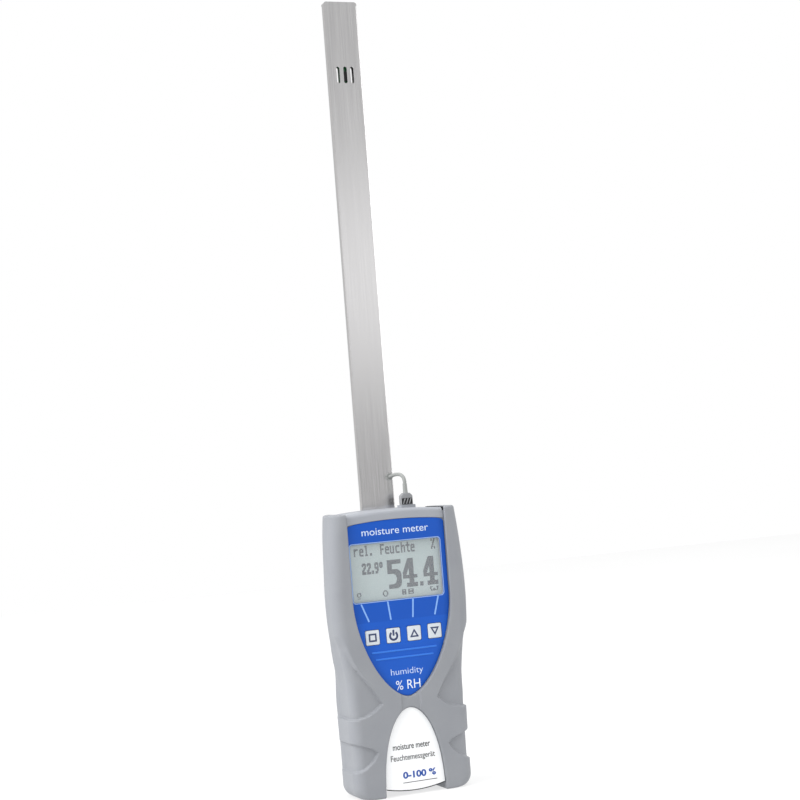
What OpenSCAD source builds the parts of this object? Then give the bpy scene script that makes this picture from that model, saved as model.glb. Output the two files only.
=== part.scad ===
// Hand-held moisture meter with a long flat sword probe.
// +Z runs up the sword, the display faces -Y, +X is to the right of the display.
// The origin is under the middle of the two legs of the rubber cover.

/* [Cover] */
// Width of the rubber cover across its shoulders
cover_w = 78.5; // [78:0.1:79]
// Width of the rubber cover at its legs
leg_w = 68.8; // [68.6:0.1:69.2]
// Depth of the rubber cover, front to back
cover_d = 32; // [32:0.1:32.4]
// Height of the rubber cover
cover_h = 152; // [151.8:0.1:152.2]

/* [Front] */
// Half width of the shield-shaped keypad field
shield_half = 28.1; // [27.9:0.1:28.2]
// Height of the lowest point of the keypad field
shield_tip_z = 52.3; // [52:0.1:52.8]
// Width of the display window
window_w = 52; // [51.6:0.1:52.2]
// Height of the display window
window_h = 30.9; // [30.5:0.1:31.2]
// Side of a square key
key_side = 7.8; // [7.6:0.1:7.9]
// Distance from key to key
key_pitch = 12; // [11.8:0.1:12.2]
// How far a key goes in
key_travel = 0.5; // [0.4:0.05:0.5]

/* [Sword] */
// Width of the sword probe
sword_w = 19.5; // [19:0.1:19.6]
// Thickness of the sword probe
sword_t = 3.8; // [3.6:0.1:3.8]
// Wall of the sword tube
sword_wall = 0.5; // [0.4:0.05:0.6]
// Height of the tip of the sword above the ground
sword_tip_z = 435; // [430:1:440]
// Width of each of the three air slots
slot_w = 2; // [1.8:0.1:2.1]
// Length of each air slot
slot_len = 9.3; // [9:0.1:10]
// Distance from slot to slot
slot_pitch = 4.1; // [4:0.1:4.2]

/* [Hidden] */
$fn = 48;
eps = 0.02;
post_fn = 28;
post_h = 0.5;

// Planes of the layers from front to back
front_y = -cover_d / 2;
back_y = cover_d / 2;
shell_front_y = front_y + 2;
shell_back_y = back_y - 3;
field_floor_y = shell_front_y + 0.7;
field_y = field_floor_y - 0.5;
shell_wall = 2;
inner_front_y = shell_front_y + shell_wall;
split_front_y = 4.5;
split_back_y = 5.5;
board_front_y = -6.3;
board_back_y = board_front_y + 1.6;
switch_front_y = board_front_y - 2.5;
glass_front_y = inner_front_y + 0.3;
frame_front_y = inner_front_y + 0.5;
glass_back_y = glass_front_y + 1.3;
light_front_y = glass_back_y + 0.1;
light_back_y = light_front_y + 1.8;
inner_back_y = shell_back_y - 0.7;

// Side wall of the cover, and the gap between cover and housing
leg_wall = 3.2;
belly_wall = 4.25;
cover_gap = 0.1;

// Corner radii of the cover, and the plane of its back above the legs
front_r = 7;
leg_back_r = 12;
upper_back_r = 15;
shell_front_r = 8;
shell_back_r = 13;
upper_back_y = 14.3;

// Heights where the outline changes
leg_z = 44;
belly_z = 105;
shoulder_z = 149.5;
head_top_z = 152.8;
foot_z = 2.2;
head_half = shield_half - 0.4;
top_half = cover_w / 2 - 2.65;

// Arcs of the top edge and of the bottom edge of the housing
head_arc_r = 280;
head_rim_r = 2.2;
foot_arc_r = 71;

// Shield-shaped field and the label between the legs
shield_mid_z = 105;
field_top_z = 147.4;
field_arc_r = 230;
arch_half = 17.3;
arch_top_z = 46.5;
curve_steps = 14;

// Display and keys
window_x = -1.1;
window_z = 119.85;
key_z = 85.3;
key_xs = [for (i = [0:3]) (i - 1.5) * key_pitch];
flange = 0.9;

// Plug, socket and cable
plug_x = 12.3;
plug_y = -1;
plug_half_w = 3.4;
plug_half_t = 1.8;
plug_base_z = 154;
plug_shoulder_z = 159.2;
plug_top_z = 160.5;
relief_top_z = 165.8;
socket_top_z = 150.2;
collar_step_z = 151.8;
collar_w = 9.2;
collar_t = 6.4;
collar_neck_w = 8;
collar_neck_t = 5.2;
cable_r = 1;
grommet_x = 7.4;
grommet_z = 170;

// Sword
sword_front_y = shell_back_y - sword_t;
sword_mid_y = shell_back_y - sword_t / 2;
sword_foot_z = 92;
cap_h = 2;
slot_z = sword_tip_z - 41;

// Cable route from the top of the plug relief into the sword
cable_route = [
    [12.3, -1, 165.8],
    [12.3, -1, 167],
    [12.2, -0.3, 168.6],
    [11.8, 0.9, 169.9],
    [11.2, 2.5, 170.7],
    [10.3, 4.3, 170.9],
    [9.2, 6, 170.7],
    [8.1, 7.3, 170.2],
    [7.5, 8.3, 170],
    [7.4, 9.2, 170],
    [7.4, 10.1, 170],
];

// Cells and door
cell_r = 7.25;
cell_xs = [-14.7, 0, 14.7];
cell_y = 3.6;
cell_len = 49.5;
nub = 1;
contact_t = 0.35;
tub_half = 22.2;
tub_low_z = 9.6;
door_half = 23;
door_top_z = 66.2;
contact_low_z = tub_low_z + 0.1;
contact_high_z = door_top_z - 0.1 - contact_t;
cell_mid_z = (contact_low_z + contact_high_z + contact_t) / 2;
cell_high_z = contact_high_z - nub - 0.1;
spring_low_z = contact_low_z + contact_t;
rear_open_half = 26;

tub_front_y = -5.5;
tub_floor_y = tub_front_y + 1.4;
groove_front_y = 11.1;
groove_back_y = 12.2;

// Screws
boss_back_y = 9.6;
shell_screw_head_y = 7.9;
clamp_screw_head_y = 14;
board_screws_at = [[-26, 75], [26, 75], [-20.5, 144.4], [20.5, 144.4]];
shell_screws_at = [[-27.2, 18], [27.2, 18], [-27, 144.6], [27, 144.6]];
clamp_screws_at = [[-16, 100], [16, 100], [-16, 140], [16, 140]];

// ---- outlines and helpers ----

// Half width of the shield-shaped field at a point of its curve, a = 90 at the tip
function shield_point(a, half, tip) = [
    half * pow(1 - pow(sin(a), 1.75), 0.6),
    shield_mid_z - (shield_mid_z - tip) * sin(a)
];

// Half width of the arched label at a point of its curve, a = 90 at its top
function arch_point(a, half, top) = [half * pow(1 - pow(sin(a), 2.3), 0.52), top * sin(a)];

function mirrored(points) = concat(
    points,
    [for (i = [len(points) - 1:-1:0]) if (points[i][0] > 0) [-points[i][0], points[i][1]]]
);

// Shield outline in X and Z, open at the top up to top_z
module shield(grow, top_z) {
    half = shield_half + grow;
    tip = shield_tip_z - grow;
    side = [for (i = [0:curve_steps]) shield_point(90 * (1 - i / curve_steps), half, tip)];
    polygon(mirrored(concat(side, [[half, top_z]])));
}

// Keypad field: the shield with an arched top edge
module field_outline(grow) {
    intersection() {
        shield(grow, field_top_z + 5);
        translate([0, field_top_z + grow - field_arc_r])
            circle(r = field_arc_r, $fn = 360);
    }
}

// Arched outline of the opening between the legs
module arch(grow, low_z) {
    half = arch_half + grow;
    side = [for (i = [0:curve_steps]) arch_point(90 * i / curve_steps, half, arch_top_z + grow)];
    polygon(mirrored(concat([[half, low_z]], side)));
}

// Stands an outline drawn in X and Z between two Y planes
module layer(y_front, y_back) {
    translate([0, y_back, 0])
        rotate([90, 0, 0])
        linear_extrude(y_back - y_front)
        children();
}

module box(low, high) {
    translate(low)
        cube(high - low);
}

// Rectangle with round corners, centred on the origin
module round_rect(w, h, r) {
    square([w - 2 * r, h], center = true);
    square([w, h - 2 * r], center = true);
    for (x = [-1, 1], y = [-1, 1])
        translate([x * (w / 2 - r), y * (h / 2 - r)])
            circle(r);
}

module slot(w, len) {
    square([w, len - w], center = true);
    for (s = [-1, 1])
        translate([0, s * (len - w) / 2])
            circle(d = w);
}

// Rod along +Y
module y_rod(x, z, y_front, y_back, r) {
    translate([x, y_front, z])
        rotate([-90, 0, 0])
        cylinder(r = r, h = y_back - y_front);
}

// Four short posts at the corners of a level section
module section(half, y0, y1, rf, rb, z) {
    for (s = [-1, 1]) {
        translate([s * (half - rf), y0 + rf, z])
            cylinder(r = rf, h = post_h, $fn = post_fn);
        translate([s * (half - rb), y1 - rb, z])
            cylinder(r = rb, h = post_h, $fn = post_fn);
    }
}

// Everything in X and Z above the bottom arc of the housing, taken in by s
module above_foot_arc(s) {
    translate([0, foot_z + foot_arc_r])
        circle(r = foot_arc_r - s, $fn = 180);
    translate([-50, 30])
        square([100, 150]);
}

// Plan of the housing with round corners, wider ones at the back
module housing_plan(s) {
    half = cover_w / 2 - belly_wall - s;
    y0 = shell_front_y + s;
    y1 = shell_back_y - s;
    rf = shell_front_r - s;
    rb = shell_back_r - s;
    translate([-half, y0 + rf])
        square([2 * half, y1 - rb - y0 - rf]);
    translate([rf - half, y0])
        square([2 * (half - rf), rf + eps]);
    translate([rb - half, y1 - rb - eps])
        square([2 * (half - rb), rb + eps]);
    for (x = [-1, 1]) {
        translate([x * (half - rf), y0 + rf])
            circle(rf);
        translate([x * (half - rb), y1 - rb])
            circle(rb);
    }
}

// Sides of the housing, which widen from the legs to the belly
module housing_sides(s) {
    legs = leg_w / 2 - leg_wall - s;
    belly = cover_w / 2 - belly_wall - s;
    top = top_half - leg_wall - s;
    polygon(mirrored([[legs, -10], [legs, leg_z], [belly, belly_z], [top, shoulder_z - s]]));
}

// Outer form of the housing, taken in by s on every side
module housing(s) {
    intersection() {
        union() {
            intersection() {
                linear_extrude(shoulder_z - s)
                    housing_plan(s);
                layer(-50, 50)
                    housing_sides(s);
            }
            box([-head_half + s, shell_front_y + s, 130], [head_half - s, shell_back_y - s, 160]);
        }
        layer(-50, 50)
            above_foot_arc(s);
        head_arc(s);
    }
}

// Disc about the centre of the top arc, with a round rim
module head_arc(s) {
    r = head_arc_r - s;
    y0 = shell_front_y + s;
    y1 = shell_back_y - s;
    rim = head_rim_r - s / 2;
    translate([0, 0, head_top_z - head_arc_r])
        rotate([90, 0, 0])
        rotate_extrude($fn = 360)
        difference() {
            translate([0, -y1])
                square([r, y1 - y0]);
            for (y = [y0, y1])
                rim_cut(r, -y, rim, y == y0 ? -1 : 1);
        }
}

// What a rim of radius rim loses at one corner of the disc, side is -1 above and 1 below
module rim_cut(r, y, rim, side) {
    difference() {
        translate([r - rim, side > 0 ? y - 1 : y - rim])
            square([rim + 1, rim + 1]);
        translate([r - rim, y + side * rim])
            circle(rim);
    }
}

// Outer form of the cover, taken in by s on every side
module cover_form(s) {
    legs = leg_w / 2 - s;
    belly = cover_w / 2 - s;
    top = top_half - s;
    y0 = front_y + s;
    y1 = back_y - s;
    y2 = upper_back_y - s;
    top_z = cover_h - s - post_h;
    hull() {
        section(legs - 2, y0 + 1.2, y1 - 1.2, front_r, leg_back_r, s);
        section(legs, y0, y1, front_r, leg_back_r, s + 5);
        section(legs, y0, y1, front_r, leg_back_r, leg_z);
    }
    hull() {
        section(legs, y0, y1, front_r, leg_back_r, leg_z);
        section(belly, y0, y2, front_r, upper_back_r, belly_z);
        section(top, y0, y2, front_r, upper_back_r, top_z - 1);
        section(top - 1, y0 + 1, y2 - 1, front_r, upper_back_r, top_z);
    }
}

// Grip hollows on the sides of the cover, drawn for the right side
module grip_outlines() {
    polygon([[15.3, 50], [20, 58], [25, 65.3], [29, 71], [33, 80], [36, 92], [50, 92],
        [50, 43], [30, 42.8], [25, 43.9], [20, 46.3]]);
    polygon([[19.7, 24.8], [23, 27], [28, 29], [33, 30.3], [50, 31], [50, 14], [33, 14.6],
        [28, 16.4], [23, 20]]);
}

// ---- cover ----

module rubber_cover() {
    grip_depth = 1.2;
    color("slategray")
        difference() {
            cover_form(0);
            housing(-cover_gap);
            layer(front_y - 1, shell_front_y + 1)
                shield(0, cover_h + 2);
            box([-shield_half, front_y - 1, shoulder_z - 3], [shield_half, shell_back_y, cover_h + 2]);
            layer(front_y - 1, shell_front_y + 1)
                arch(0, -1);
            box([-arch_half, front_y - 1, -1], [arch_half, back_y + 1, 8]);
            box([-rear_open_half, 10, -1], [rear_open_half, back_y + 1, 69]);
            box([-rear_open_half, 10, 85], [rear_open_half, back_y + 1, cover_h + 2]);
            difference() {
                for (s = [0, 1])
                    mirror([s, 0, 0])
                    layer(front_y - 1, 5)
                    grip_outlines();
                cover_form(grip_depth);
            }
        }
}

// ---- housing ----

module front_shell() {
    color("gainsboro")
        difference() {
            union() {
                difference() {
                    housing(0);
                    housing(shell_wall);
                }
                for (p = board_screws_at)
                    y_rod(p[0], p[1], inner_front_y - 0.1, board_front_y - 0.02, 2.6);
                for (p = shell_screws_at)
                    y_rod(p[0], p[1], inner_front_y - 0.1, split_front_y, 2.7);
            }
            box([-50, split_front_y, -10], [50, 50, 200]);
            layer(shell_front_y - 1, field_floor_y)
                field_outline(0.1);
            layer(shell_front_y - 1, inner_front_y + 1)
                translate([window_x, window_z])
                round_rect(window_w + 0.2, window_h + 0.2, 1.6);
            for (x = key_xs)
                layer(shell_front_y - 1, inner_front_y + 1)
                    translate([x, key_z])
                    round_rect(key_side + 0.4, key_side + 0.4, 0.8);
            translate([plug_x, plug_y, 140])
                linear_extrude(20)
                round_rect(collar_neck_w + 0.2, collar_neck_t + 0.2, 1.2);
            translate([plug_x, plug_y, collar_step_z - 0.1])
                linear_extrude(10)
                round_rect(collar_w + 0.2, collar_t + 0.2, 1.6);
            for (p = board_screws_at)
                y_rod(p[0], p[1], inner_front_y + 1.2, 0, 1.25);
            for (p = shell_screws_at)
                y_rod(p[0], p[1], inner_front_y + 3, split_back_y, 1.3);
        }
}

module rear_shell() {
    color("lightgray")
        difference() {
            union() {
                difference() {
                    housing(0);
                    housing(shell_wall);
                    box([-50, -50, -10], [50, split_back_y, 200]);
                }
                // block around the channel of the sword
                box([-20, 7.4, 88], [20, inner_back_y, 151.5]);
                // tub of the cells, which reaches into the front shell
                layer(tub_front_y, split_back_y + eps)
                    intersection() {
                        translate([-23.8, 4])
                            square([47.6, 64]);
                        above_foot_arc(shell_wall + 0.1);
                    }
                layer(split_back_y, inner_back_y)
                    intersection() {
                        translate([-25, 4])
                            square([50, 64]);
                        above_foot_arc(0.5);
                    }
                for (p = shell_screws_at)
                    y_rod(p[0], p[1], split_back_y, boss_back_y, 2.7);
            }
            // channel of the sword
            box([-sword_w / 2 - 0.1, sword_front_y - 0.02, sword_foot_z - 0.2], [sword_w / 2 + 0.1, 20, 160]);
            // space of the cells, door opening and the grooves of the door
            box([-tub_half, tub_floor_y, tub_low_z], [tub_half, 20, door_top_z]);
            box([-door_half - 0.2, groove_front_y, -1], [door_half + 0.2, 20, door_top_z + 0.2]);
            box(
                [-door_half - 1.2, groove_front_y, -1],
                [door_half + 1.2, groove_back_y, door_top_z + 0.2]
            );
            for (p = shell_screws_at) {
                y_rod(p[0], p[1], 0, 20, 1.3);
                y_rod(p[0], p[1], shell_screw_head_y, 20, 2.35);
            }
            for (p = clamp_screws_at)
                y_rod(p[0], p[1], 8.6, 20, 1.3);
        }
}

module housing_seal() {
    color("dimgray")
        difference() {
            housing(0.4);
            housing(1.6);
            box([-50, -50, -10], [50, split_front_y, 200]);
            box([-50, split_back_y, -10], [50, 50, 200]);
            for (p = shell_screws_at)
                y_rod(p[0], p[1], 0, 10, 2.9);
        }
}

// Pan-head screw along Y, its head at the back
module screw(x, z, y_tip, y_head, head_r, head_h, shank_r) {
    difference() {
        union() {
            y_rod(x, z, y_tip, y_head + eps, shank_r);
            y_rod(x, z, y_head, y_head + head_h, head_r);
        }
        for (a = [0, 90])
            translate([x, y_head + head_h, z])
                rotate([0, a, 0])
                cube([head_r * 1.3, head_h, head_r * 0.3], center = true);
    }
}

module housing_screws() {
    color("silver")
        for (p = shell_screws_at)
            screw(p[0], p[1], -8, shell_screw_head_y, 2.3, 1.9, 1.2);
}

module board_screws() {
    color("silver")
        for (p = board_screws_at)
            screw(p[0], p[1], inner_front_y + 1.4, board_back_y, 2.4, 1.6, 1.15);
}

module clamp_screws() {
    color("silver")
        for (p = clamp_screws_at)
            screw(p[0], p[1], 9, clamp_screw_head_y, 2.6, 1.5, 1.2);
}

// ---- front field ----

module keypad_membrane() {
    color("royalblue")
        layer(field_y, field_floor_y)
        difference() {
            field_outline(-0.1);
            translate([window_x, window_z])
                round_rect(window_w, window_h, 1.5);
            for (x = key_xs)
                translate([x, key_z])
                    round_rect(key_side + 0.4, key_side + 0.4, 0.8);
        }
}

module display_pane() {
    color([0.75, 0.8, 0.8, 0.4])
        layer(field_y + 0.05, inner_front_y)
        translate([window_x, window_z])
        round_rect(window_w - 0.2, window_h - 0.2, 1.4);
}

module display_glass() {
    color("darkseagreen")
        layer(glass_front_y, glass_back_y)
        translate([window_x, window_z])
        round_rect(54.4, 37, 0.5);
}

module display_frame() {
    color("black")
        difference() {
            layer(frame_front_y, board_front_y)
                translate([window_x, window_z])
                square([56.2, 42], center = true);
            layer(glass_front_y, light_back_y + 0.1)
                translate([window_x, window_z])
                square([54.6, 37.2], center = true);
            layer(glass_front_y, board_front_y + 1)
                translate([window_x, window_z])
                square([53, 33], center = true);
        }
}

module backlight() {
    color("white")
        layer(light_front_y, light_back_y)
        translate([window_x, window_z])
        round_rect(54, 36.6, 0.5);
}

// One key: cap, retaining flange and plunger
module key(i) {
    color("lightgray") {
        layer(shell_front_y, inner_front_y + 0.2)
            translate([key_xs[i], key_z])
            round_rect(key_side, key_side, 0.7);
        layer(inner_front_y + 0.2 - eps, inner_front_y + 1)
            translate([key_xs[i], key_z])
            round_rect(key_side + 2 * flange, key_side + 2 * flange, 0.8);
        y_rod(key_xs[i], key_z, inner_front_y + 0.9, switch_front_y - key_travel - 0.1, 1.5);
    }
}

module key_menu() {
    key(0);
}

module key_power() {
    key(1);
}

module key_up() {
    key(2);
}

module key_down() {
    key(3);
}

module front_label() {
    color("white")
        layer(shell_front_y - 0.3, shell_front_y)
        intersection() {
            arch(-0.3, -1);
            above_foot_arc(0.3);
        }
}

// ---- electronics ----

module main_board() {
    color("darkgreen")
        layer(board_front_y, board_back_y)
        difference() {
            translate([-29.5, 71])
                square([59, 76]);
            for (p = shell_screws_at)
                translate([p[0], p[1]])
                    circle(3.4);
            for (p = board_screws_at)
                translate([p[0], p[1]])
                    circle(1.3);
        }
}

module processor_chip() {
    color("dimgray")
        layer(board_back_y, board_back_y + 1.4)
        translate([-4, 118])
        square(12, center = true);
}

module board_parts() {
    color("goldenrod") {
        for (x = [-22, -17, -12, 18, 23])
            layer(board_back_y, board_back_y + 0.9)
                translate([x, 126])
                square([2, 3.2], center = true);
        for (z = [100, 108])
            y_rod(16, z, board_back_y, 1.5, 3.2);
        layer(board_back_y, -1.5)
            translate([-2, 76])
            square([16, 5], center = true);
    }
}

module buzzer() {
    color("black")
        difference() {
            y_rod(-18, 98, board_back_y, -0.6, 6);
            y_rod(-18, 98, -1.6, 0, 1);
        }
}

module key_switches() {
    color("silver")
        for (x = key_xs) {
            layer(board_front_y - 2, board_front_y)
                translate([x, key_z])
                square(6, center = true);
            y_rod(x, key_z, switch_front_y, board_front_y - 1.9, 1.6);
        }
}

// ---- plug, socket and cable ----

// Slot for the metal shell of the plug
module plug_slot(z0, z1) {
    box([plug_x - 2.9, plug_y - 0.85, z0], [plug_x + 2.9, plug_y + 0.85, z1]);
}

module plug_socket() {
    color("silver")
        difference() {
            box([plug_x - 3.7, board_back_y, 143], [plug_x + 3.7, 2.6, socket_top_z]);
            plug_slot(145, 152);
        }
}

module socket_collar() {
    color("lightgray")
        difference() {
            union() {
                translate([plug_x, plug_y, socket_top_z + 0.1])
                    linear_extrude(collar_step_z - socket_top_z)
                    round_rect(collar_neck_w, collar_neck_t, 1.1);
                translate([plug_x, plug_y, collar_step_z])
                    linear_extrude(plug_base_z - collar_step_z)
                    round_rect(collar_w, collar_t, 1.5);
            }
            plug_slot(150, 160);
        }
}

module plug_shell() {
    color("silver")
        difference() {
            box([plug_x - 2.8, plug_y - 0.75, 146], [plug_x + 2.8, plug_y + 0.75, plug_base_z]);
            box([plug_x - 2.4, plug_y - 0.35, 145], [plug_x + 2.4, plug_y + 0.35, 152]);
        }
}

module plug_body() {
    color("darkgray")
        layer(plug_y - plug_half_t, plug_y + plug_half_t)
        polygon([
            [plug_x - plug_half_w, plug_base_z], [plug_x + plug_half_w, plug_base_z],
            [plug_x + plug_half_w, plug_shoulder_z], [plug_x + 1.6, plug_top_z],
            [plug_x - 1.6, plug_top_z], [plug_x - plug_half_w, plug_shoulder_z]
        ]);
}

// Raised slanting ribs on the front and the back of the plug
module plug_grip() {
    rib_w = 0.7;
    rib_h = 0.3;
    module ribs() {
        translate([plug_x, 0])
            for (x = [-2.6, -0.9, 0.8])
                polygon([[x, 154.6], [x + rib_w, 154.6], [x + 1.2 + rib_w, 157.5], [x + 1.2, 157.5]]);
    }
    color("dimgray") {
        layer(plug_y - plug_half_t - rib_h, plug_y - plug_half_t)
            ribs();
        layer(plug_y + plug_half_t, plug_y + plug_half_t + rib_h)
            ribs();
    }
}

module plug_relief() {
    color("darkgray")
        translate([plug_x, plug_y, plug_top_z])
        cylinder(r1 = 1.4, r2 = 1.15, h = relief_top_z - plug_top_z);
}

function unit(v) = v / norm(v);

// Direction of the route at point i
function heading(route, i) =
    unit(route[min(i + 1, len(route) - 1)] - route[max(i - 1, 0)]);

module tube(route, r, sides, side_dir) {
    count = len(route);
    rings = [for (i = [0:count - 1])
        let (t = heading(route, i), b = unit(cross(t, side_dir)), n = cross(b, t))
        for (k = [0:sides - 1])
            route[i] + r * (cos(360 * k / sides) * n + sin(360 * k / sides) * b)];
    walls = [for (i = [0:count - 2], k = [0:sides - 1])
        let (a = i * sides + k, c = i * sides + (k + 1) % sides)
            [a, a + sides, c + sides, c]];
    start = [for (k = [0:sides - 1]) k];
    end = [for (k = [sides - 1:-1:0]) (count - 1) * sides + k];
    polyhedron(rings, concat(walls, [start, end]));
}

module sensor_cable() {
    color("darkgray")
        tube(cable_route, cable_r, 8, unit([10.2, 4.4, 0]));
}

module cable_grommet() {
    color("gray")
        difference() {
            union() {
                y_rod(grommet_x, grommet_z, sword_front_y - 0.8, sword_front_y, 1.95);
                y_rod(grommet_x, grommet_z, sword_front_y - 0.1, sword_front_y + 0.9, 1.55);
            }
            y_rod(grommet_x, grommet_z, sword_front_y - 2, sword_front_y + 2, 1.12);
        }
}

// Lead inside the sword, from the grommet up to the sensor board
module sensor_lead() {
    color("darkgray")
        translate([grommet_x - 0.2, sword_mid_y, grommet_z - 1])
        cylinder(r = 0.9, h = slot_z - 18 - grommet_z);
}

// ---- sword ----

module sword_profile(inset) {
    round_rect(sword_w - 2 * inset, sword_t - 2 * inset, max(0.2, 0.7 - inset));
}

module sword_tube() {
    color("silver")
        difference() {
            translate([0, sword_mid_y, sword_foot_z])
                linear_extrude(sword_tip_z - cap_h - sword_foot_z)
                difference() {
                    sword_profile(0);
                    sword_profile(sword_wall);
                }
            for (i = [-1:1])
                layer(0, 30)
                    translate([i * slot_pitch, slot_z])
                    slot(slot_w, slot_len);
            y_rod(grommet_x, grommet_z, 0, sword_mid_y, 1.6);
        }
}

module sword_tip_cap() {
    color("silver") {
        translate([0, sword_mid_y, sword_tip_z - cap_h - 6])
            linear_extrude(6.1)
            sword_profile(sword_wall + 0.04);
        layer(sword_front_y, shell_back_y)
            intersection() {
                translate([0, sword_tip_z - 6])
                    round_rect(sword_w, 12, 1.6);
                translate([-20, sword_tip_z - cap_h])
                    square([40, 10]);
            }
    }
}

module sword_end_plug() {
    color("gray")
        translate([0, sword_mid_y, sword_foot_z])
        linear_extrude(6)
        sword_profile(sword_wall + 0.04);
}

module sensor_board() {
    color("darkgreen")
        box([-2.8, sword_mid_y - 0.1, slot_z - 18], [2.8, sword_mid_y + 0.7, slot_z + 8]);
}

module humidity_sensor() {
    color("black")
        box([-1.4, sword_mid_y - 0.9, slot_z - 3.2], [1.4, sword_mid_y - 0.1, slot_z + 2.2]);
}

module sword_clamp() {
    color("dimgray")
        difference() {
            layer(shell_back_y, back_y - 0.4)
                translate([0, 120])
                round_rect(43, 53, 4);
            for (p = clamp_screws_at) {
                y_rod(p[0], p[1], 10, 20, 1.3);
                y_rod(p[0], p[1], clamp_screw_head_y, 20, 2.7);
            }
            for (z = [110, 120, 130])
                layer(back_y - 1, back_y + 1)
                    translate([0, z])
                    square([24, 3], center = true);
        }
}

// ---- power ----

// Turns every second cell and its spring end for end
module turned(i) {
    translate([0, 0, (i % 2) * 2 * cell_mid_z])
        mirror([0, 0, i % 2])
        children();
}

module battery_cells() {
    color("orange")
        for (i = [0:2])
            turned(i)
            translate([cell_xs[i], cell_y, cell_high_z - cell_len]) {
                cylinder(r = cell_r, h = cell_len);
                cylinder(r = 2.7, h = cell_len + nub);
            }
}

// Coil spring of rising turns
module coil(r_low, r_high, height, turns, wire_r) {
    per_turn = 12;
    route = [for (i = [0:turns * per_turn])
        let (f = i / (turns * per_turn), a = 360 * i / per_turn, r = r_low + (r_high - r_low) * f)
            [r * cos(a), r * sin(a), wire_r + f * (height - 2 * wire_r)]];
    tube(route, wire_r, 6, [0, 0, 1]);
}

module battery_springs() {
    color("silver")
        for (i = [0:2])
            turned(i)
            translate([cell_xs[i], cell_y, spring_low_z])
            coil(4.6, 2.4, cell_high_z - cell_len - spring_low_z, 3, 0.4);
}

module battery_contacts() {
    color("silver")
        for (z = [contact_low_z, contact_high_z], x = cell_xs)
            box([x - 6.5, -3, z], [x + 6.5, 10, z + contact_t]);
}

// Sliding door, shaped to the bottom arc of the housing
module battery_door() {
    color("lightgray")
        difference() {
            layer(11.3, shell_back_y + 0.5)
                intersection() {
                    translate([-door_half - 1, 0])
                        square([2 * door_half + 2, door_top_z]);
                    above_foot_arc(0);
                }
            // thin tongues at both sides, which run in the grooves of the shell
            for (s = [0, 1])
                mirror([s, 0, 0])
                box([door_half, 12, -5], [door_half + 5, 20, 90]);
            // the outer face, with the grip ribs standing on it
            difference() {
                box([-door_half - 2, shell_back_y, -5], [door_half + 2, shell_back_y + 3, 90]);
                for (i = [0:4])
                    box([-10, shell_back_y - 1, 10 + 2.4 * i], [10, shell_back_y + 2, 11.2 + 2.4 * i]);
            }
        }
}

// Blank plate on the door
module door_plate() {
    color("whitesmoke")
        layer(shell_back_y, shell_back_y + 0.3)
        translate([0, 43])
        round_rect(34, 28, 2);
}

rubber_cover();
front_shell();
rear_shell();
housing_seal();
housing_screws();
keypad_membrane();
display_pane();
display_glass();
display_frame();
backlight();
main_board();
board_screws();
processor_chip();
board_parts();
buzzer();
key_switches();
key_menu();
key_power();
key_up();
key_down();
front_label();
plug_socket();
socket_collar();
plug_shell();
plug_body();
plug_grip();
plug_relief();
sensor_cable();
cable_grommet();
sensor_lead();
sword_tube();
sword_tip_cap();
sword_end_plug();
sensor_board();
humidity_sensor();
sword_clamp();
clamp_screws();
battery_cells();
battery_springs();
battery_contacts();
battery_door();
door_plate();
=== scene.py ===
import bmesh
import bpy
import math
import numpy as np
from mathutils import Matrix, Vector


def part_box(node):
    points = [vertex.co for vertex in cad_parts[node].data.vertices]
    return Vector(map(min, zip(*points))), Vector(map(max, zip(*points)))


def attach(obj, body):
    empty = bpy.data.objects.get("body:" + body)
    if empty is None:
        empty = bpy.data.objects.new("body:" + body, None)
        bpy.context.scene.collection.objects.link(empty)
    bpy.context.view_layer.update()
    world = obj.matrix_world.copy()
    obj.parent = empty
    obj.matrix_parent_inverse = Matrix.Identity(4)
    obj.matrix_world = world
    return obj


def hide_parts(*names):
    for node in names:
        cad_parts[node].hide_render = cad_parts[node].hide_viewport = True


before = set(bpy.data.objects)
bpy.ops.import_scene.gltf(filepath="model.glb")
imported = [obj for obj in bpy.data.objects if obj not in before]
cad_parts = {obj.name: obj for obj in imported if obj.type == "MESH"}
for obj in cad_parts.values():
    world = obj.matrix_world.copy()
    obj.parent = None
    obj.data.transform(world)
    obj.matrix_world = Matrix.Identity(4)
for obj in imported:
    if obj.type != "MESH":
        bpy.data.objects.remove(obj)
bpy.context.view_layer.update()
MM = 0.001
scene = bpy.context.scene


# ---- camera ----

# The camera looks at the object from the left, a little upwards, from about a metre
CAMERA_AT = (-0.34305, -0.89303, 0.18062)
CAMERA_RIGHT = Vector((0.926735, -0.367629, -0.077539))
CAMERA_UP = Vector((0.060160, -0.058518, 0.996472))


def make_camera():
    data = bpy.data.cameras.new("camera")
    data.sensor_width = 36
    data.lens = 78.75
    data.clip_start = 0.05
    data.clip_end = 30
    camera = bpy.data.objects.new("camera", data)
    back = CAMERA_RIGHT.cross(CAMERA_UP)
    pose = Matrix((CAMERA_RIGHT, CAMERA_UP, back)).transposed().to_4x4()
    pose.translation = CAMERA_AT
    camera.matrix_world = pose
    scene.collection.objects.link(camera)
    scene.camera = camera


make_camera()


# ---- node material helpers ----

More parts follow.
